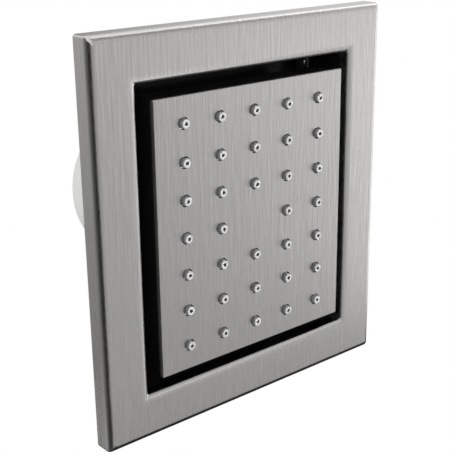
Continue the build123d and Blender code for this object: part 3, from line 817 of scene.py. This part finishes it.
softened("recess_well", 0.4 * mm, dark_plastic, "fixed")
softened("rough_housing", 0.5 * mm, white_plastic, "fixed")
softened("spray_tray", 0.4 * mm, head_plastic, "head")
softened("head_cover", 0.3 * mm, head_plastic, "head")
softened("socket_nut", 0.4 * mm, head_plastic, "head")
softened("inlet_locknut", 0.5 * mm, brass, "fixed")
softened("frame_clips", 0.15 * mm, spring, "fixed")

# %% [markdown]
# ## Clip tongues
# Each clip has a small tongue, bent out of its leaf towards the head, that keeps the frame's leg from
# rattling. In the gap above the plate one of them catches the light. A bent strip could be extruded along
# a path, but only the tongue's nose shows, so a block is rounded there and mirrored to the other clips.

# %% Clip tongues
clip_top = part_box("frame_clips")[1].z
leaf_inside, tongue_front, tongue_depth = 47.0 * mm, 14.2 * mm, 2.0 * mm
tongue_reach, tongue_root = 1.0 * mm, 0.2 * mm
tongue_low = Vector((leaf_inside - tongue_reach, tongue_front, clip_top - 3.6 * mm))
tongue_high = Vector((leaf_inside + tongue_root, tongue_front + tongue_depth, clip_top - 2.1 * mm))
nose_radius, tongue_rim = 0.8 * mm, 0.15 * mm
tongues = bmesh.new()
block(tongues, tongue_low, tongue_high)
nose = [
    e
    for e in tongues.edges
    if all(near(v.co.x, tongue_low.x) and near(v.co.y, tongue_front) for v in e.verts)
]
bevel(tongues, nose, nose_radius, segments=5)
bevel(tongues, sharp_edges(tongues, angle=30), tongue_rim, segments=2)
for axis in ("X", "Z"):
    bmesh.ops.mirror(tongues, geom=everything(tongues), axis=axis, merge_dist=0)
bmesh.ops.recalc_face_normals(tongues, faces=tongues.faces)
make_piece("clip_tongues", tongues, spring, "fixed", "spring_steel")

# %% [markdown]
# ## Brass inlet
# The inlet is turned from bar: a flange, a neck for the ball stem and a tube threaded inside for the pipe
# and outside for the lock nut. Cylinders and booleans could build it up. A lathe works from a section,
# and so does spin, so the body is spun from half its section, with the threads' roots as plain walls.

# %% Turned body
brass_low, brass_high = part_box("inlet_fitting")
neck_front, inlet_end = brass_low.y, brass_high.y
flange_front, flange_end = neck_front + 11 * mm, neck_front + 15 * mm
socket_end, thread_front = neck_front + 9 * mm, inlet_end - 14 * mm
ledge, filter_seat = thread_front - 1.5 * mm, thread_front - 5 * mm
socket_radius, neck_radius, flange_radius = 7.1 * mm, 12.0 * mm, 18.0 * mm
relief_radius, filter_radius, water_radius = 8.6 * mm, 7.5 * mm, 5.0 * mm
outer_root, outer_crest = 12.75 * mm, 13.5 * mm
inner_root, inner_crest = 10.1 * mm, 9.3 * mm
half_inlet = [
    (socket_radius, neck_front),
    (neck_radius, neck_front),
    (neck_radius, flange_front),
    (flange_radius, flange_front),
    (flange_radius, flange_end),
    (outer_crest, flange_end),
    (outer_crest, flange_end + 4 * mm),
    (outer_root, flange_end + 5 * mm),
    (outer_root, inlet_end),
    (inner_root, inlet_end),
    (inner_root, thread_front + 1 * mm),
    (relief_radius, thread_front),
    (relief_radius, ledge),
    (filter_radius, ledge),
    (filter_radius, filter_seat),
    (water_radius, filter_seat),
    (water_radius, socket_end),
    (socket_radius, socket_end),
]
turned_rim = 0.3 * mm
inlet = bmesh.new()
lathe(inlet, half_inlet, steps=64)
bevel(inlet, sharp_edges(inlet, angle=40), turned_rim, segments=2)
print("turned body:", len(inlet.faces), "faces")

# %% [markdown]
# ## Threads
# A thread is cut by a tool that moves along while the work turns. A Screw modifier could wind it. Spin
# with a step along the axis does the same in the mesh at once: a ridge, pointed at the crest and sunk into
# the root, winds round as a helix, and its two ends are closed.


# %% Threads
def thread(bm, root, crest, start, end, pitch, steps=32):
    """A ridge that winds from start to end, pointed at the crest and sunk into the root."""
    turns = (end - start) / pitch
    # The foot lies under the root by a share of the ridge's height, and nearly meets the next turn's.
    sunk = root - (crest - root) * 0.3
    flank = pitch * 0.46
    made = bmesh.new()
    corners = ((sunk, start - flank, 0), (crest, start, 0), (sunk, start + flank, 0))
    ring = [made.verts.new(point) for point in corners]
    rim = [made.edges.new(pair) for pair in zip(ring, ring[1:] + ring[:1])]
    made.faces.new(ring)
    bmesh.ops.spin(
        made,
        geom=ring + rim,
        angle=2 * pi * turns,
        steps=round(turns * steps),
        dvec=(0, pitch / steps, 0),
        axis=(0, 1, 0),
    )
    bmesh.ops.edgeloop_fill(made, edges=[e for e in made.edges if e.is_boundary])
    bmesh.ops.recalc_face_normals(made, faces=made.faces)
    ridge = bpy.data.meshes.new("ridge")
    made.to_mesh(ridge)
    made.free()
    bm.from_mesh(ridge)
    bpy.data.meshes.remove(ridge)
    print("thread of", round(turns, 1), "turns")


outer_pitch, inner_pitch = 1.5 * mm, 1.814 * mm
thread(inlet, outer_root, outer_crest, flange_end + 5.5 * mm, inlet_end - 1.2 * mm, outer_pitch)
thread(inlet, inner_root, inner_crest, thread_front + 1.8 * mm, inlet_end - 1.4 * mm, inner_pitch)
make_piece("inlet_fitting_turned", inlet, brass, "fixed", "brass", "inlet_fitting")

# %% [markdown]
# ## Screws
# The pan-head screws have a rounded head with a cross recess, which the maker punches. The head and shank
# are spun, and two crossed blades cut the recess by a boolean. One cutter with both blades could do it in
# one go, but where they overlap a boolean may fail, so they cut one after the other.


# %% One screw
def pan_head(head_radius, head_height, shank_radius, length, pitch):
    """A screw at the origin: its head rises towards -Y from the seat at 0, and it points along +Y."""
    crown, root_radius = -head_height, shank_radius * 0.78
    # The head's curve and recess are shares of its radius and height.
    half_screw = [
        (0, crown),
        (head_radius * 0.72, crown),
        (head_radius * 0.93, crown * 0.7),
        (head_radius, crown * 0.3),
        (head_radius, 0),
        (root_radius, 0),
        (root_radius, length - shank_radius),
        (0, length),
    ]
    screw = bmesh.new()
    lathe(screw, half_screw, steps=24)
    reach, thick, recess_end = head_radius * 0.55, head_radius * 0.14, crown * 0.35
    for half_x, half_z in ((reach, thick), (thick, reach)):
        blade = bmesh.new()
        block(blade, (-half_x, crown - 1 * mm, -half_z), (half_x, recess_end, half_z))
        screw = carve(screw, blade)
    thread(screw, root_radius, shank_radius, pitch, length - 1.5 * shank_radius, pitch, steps=16)
    return screw


housing_head, cover_head = 2.2 * mm, 1.3 * mm
housing_screw = pan_head(
    head_radius=3.4 * mm,
    head_height=housing_head,
    shank_radius=1.9 * mm,
    length=12 * mm,
    pitch=1.1 * mm,
)
cover_screw = pan_head(
    head_radius=1.9 * mm,
    head_height=cover_head,
    shank_radius=1.1 * mm,
    length=6 * mm,
    pitch=0.8 * mm,
)
print("one screw:", len(housing_screw.faces), "and", len(cover_screw.faces), "faces")

# %% [markdown]
# ## Driven screws
# Four screws hold the well to the housing, and ten hold the head's cover. Their places could be typed in
# again. They are read from the solids instead: a walk along the edges finds each screw's own vertices,
# and a copy of the screw goes to their middle.


# %% Driven screws
def middles(node):
    """The middle of each separate solid of a node."""
    solid = bmesh.new()
    solid.from_mesh(nodes[node].data)
    bmesh.ops.remove_doubles(solid, verts=solid.verts, dist=weld)
    found, seen = [], set()
    for first in solid.verts:
        if first in seen:
            continue
        seen.add(first)
        island = [first]
        for vert in island:
            others = [e.other_vert(vert) for e in vert.link_edges]
            fresh = [other for other in others if other not in seen]
            seen.update(fresh)
            island.extend(fresh)
        found.append(sum((v.co for v in island), Vector()) / len(island))
    solid.free()
    return found


def screw_set(node, screw, seat, turn, body):
    """Puts a copy of a screw on each solid of a node; turn is pi where the heads face the wall."""
    bmesh.ops.rotate(screw, verts=screw.verts, matrix=Matrix.Rotation(turn, 3, "Z"))
    bmesh.ops.translate(screw, verts=screw.verts, vec=(0, seat, 0))
    one = bpy.data.meshes.new("one_screw")
    screw.to_mesh(one)
    screw.free()
    screws = bmesh.new()
    for place in middles(node):
        before = len(screws.verts)
        screws.from_mesh(one)
        screws.verts.ensure_lookup_table()
        bmesh.ops.translate(screws, verts=screws.verts[before:], vec=(place.x, 0, place.z))
    bpy.data.meshes.remove(one)
    make_piece(node + "_driven", screws, zinc, body, "zinc_steel", node)


housing_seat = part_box("housing_screws")[0].y + housing_head
screw_set("housing_screws", housing_screw, housing_seat, 0, "fixed")
cover_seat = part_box("cover_screws")[1].y - cover_head
screw_set("cover_screws", cover_screw, cover_seat, pi, "head")
